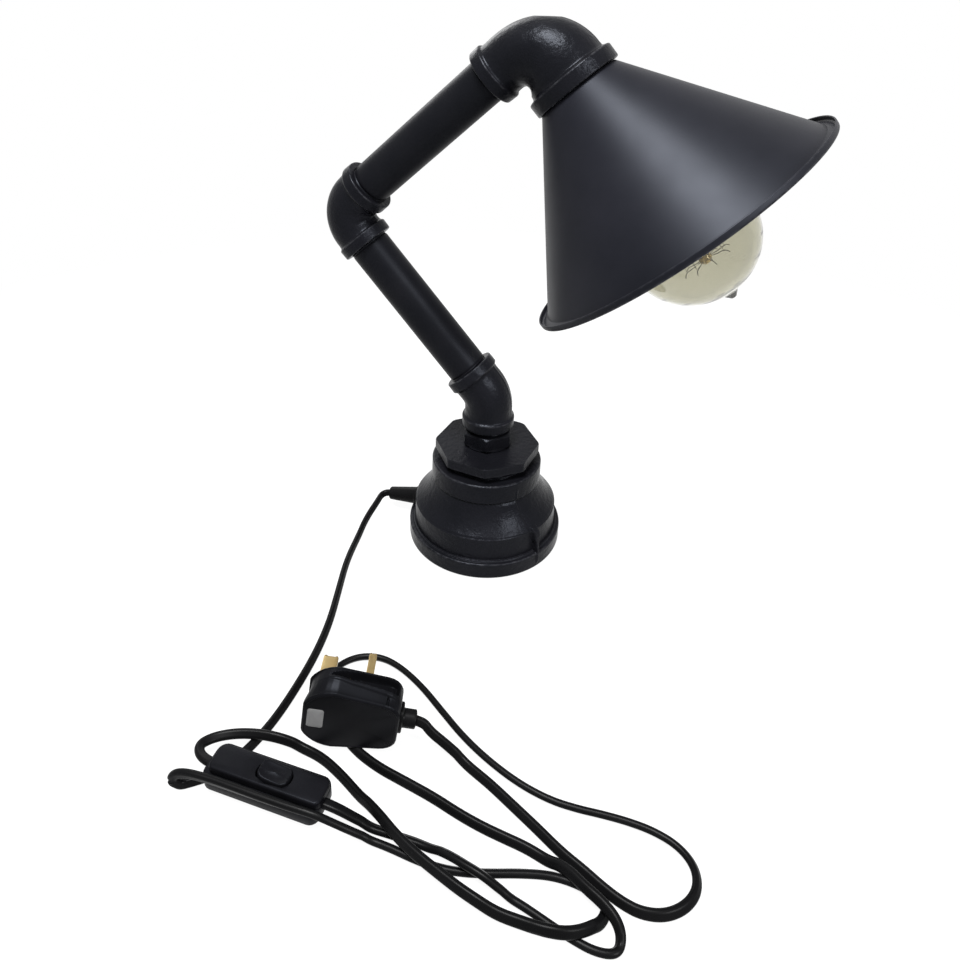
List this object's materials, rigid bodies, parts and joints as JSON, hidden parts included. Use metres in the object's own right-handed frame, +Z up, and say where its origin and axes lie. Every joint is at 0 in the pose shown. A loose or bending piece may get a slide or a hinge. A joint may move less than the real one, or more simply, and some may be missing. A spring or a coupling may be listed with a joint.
{
  "type": "industrial pipe table lamp",
  "caption": "Table lamp of black pipe fittings on a reducing-socket foot, with a leaning swivel arm, a cone shade, a globe bulb and a flat lead with rocker switch and plug.",
  "frame": {"origin": "on the table, on the axis of the foot", "axes": "+Z up, +X towards the lamp head, the arm in the XZ plane"},
  "size_m": [0.2923, 0.3388, 0.3479],
  "materials": {
    "cast_black": "black semi-gloss, rough cast",
    "pipe_black": "black satin",
    "shade_black": "black satin lacquer",
    "glass": "clear, faintly warm",
    "brass": "satin brass",
    "steel": "plain",
    "black_plastic": "black satin",
    "black_rubber": "black matt",
    "felt": "black felt",
    "white_plastic": "white"
  },
  "bodies": {
    "foot": {"base_reducer": "cast_black", "base_pad": "felt", "base_plate": "steel", "cord_grip": "black_rubber", "base_bushing": "cast_black", "hex_nipple": "cast_black", "switch_lower_shell": "black_plastic", "switch_upper_shell": "black_plastic", "switch_pivot": "steel", "switch_contact_supply": "brass", "switch_contact_load": "brass", "switch_screw_1": "steel", "switch_screw_2": "steel", "plug_body": "black_plastic", "plug_earth_pin": "brass", "plug_live_pin": "brass", "plug_neutral_pin": "brass", "plug_sleeve": "black_rubber", "terminal_block": "white_plastic", "terminal_tube_1": "brass", "terminal_tube_2": "brass", "terminal_screw_1": "steel", "terminal_screw_2": "steel", "terminal_screw_3": "steel", "terminal_screw_4": "steel", "inner_lead": "black_rubber", "inner_cable_base": "black_rubber", "cord_to_switch": "black_rubber", "cord_to_plug": "black_rubber"},
    "rocker": {"switch_rocker": "black_plastic"},
    "fuse_drawer": {"fuse_carrier": "black_plastic", "fuse": "brass"},
    "lower_arm": {"elbow_lower": "cast_black", "pipe_lower": "pipe_black", "inner_cable_lower": "black_rubber"},
    "upper_arm": {"elbow_middle": "cast_black", "pipe_upper": "pipe_black", "inner_cable_upper": "black_rubber"},
    "head": {"elbow_top": "cast_black", "holder_collar": "steel", "holder_cap": "black_plastic", "holder_skirt": "black_plastic", "holder_insert": "white_plastic", "holder_screw_shell": "brass", "holder_contact": "brass", "shade_ring": "black_plastic", "shade": "shade_black", "inner_cable_head": "black_rubber"},
    "bulb": {"bulb_glass": "glass", "bulb_cap": "brass", "bulb_insulator": "white_plastic", "bulb_contact": "brass", "bulb_stem": "glass", "bulb_filament": "steel"}
  },
  "joints": [
    {"name": "base_swivel", "type": "hinge", "parent": "foot", "child": "lower_arm", "pos_m": [0, 0, 0.0878], "axis": [0, 0, 1], "range_deg": [-90, 90]},
    {"name": "arm_swivel", "type": "hinge", "parent": "lower_arm", "child": "upper_arm", "pos_m": [-0.10438, 0, 0.22573], "axis": [-0.6691, 0, 0.7431], "range_deg": [-60, 60]},
    {"name": "head_swivel", "type": "hinge", "parent": "upper_arm", "child": "head", "pos_m": [0.02046, 0, 0.33814], "axis": [0.7431, 0, 0.6691], "range_deg": [-90, 90]},
    {"name": "bulb_screw", "type": "hinge", "parent": "head", "child": "bulb", "pos_m": [0.07761, 0, 0.27468], "axis": [0.6691, 0, -0.7431], "range_deg": [0, 180]},
    {"name": "switch_rock", "type": "hinge", "parent": "foot", "child": "rocker", "pos_m": [-0.0342, -0.2248, 0.0146], "axis": [0, 1, 0], "range_deg": [-14, 0]},
    {"name": "fuse_slide", "type": "slide", "parent": "foot", "child": "fuse_drawer", "axis": [-0.2676, 0.9521, 0.1478], "range_m": [0, 0.01]}
  ]
}
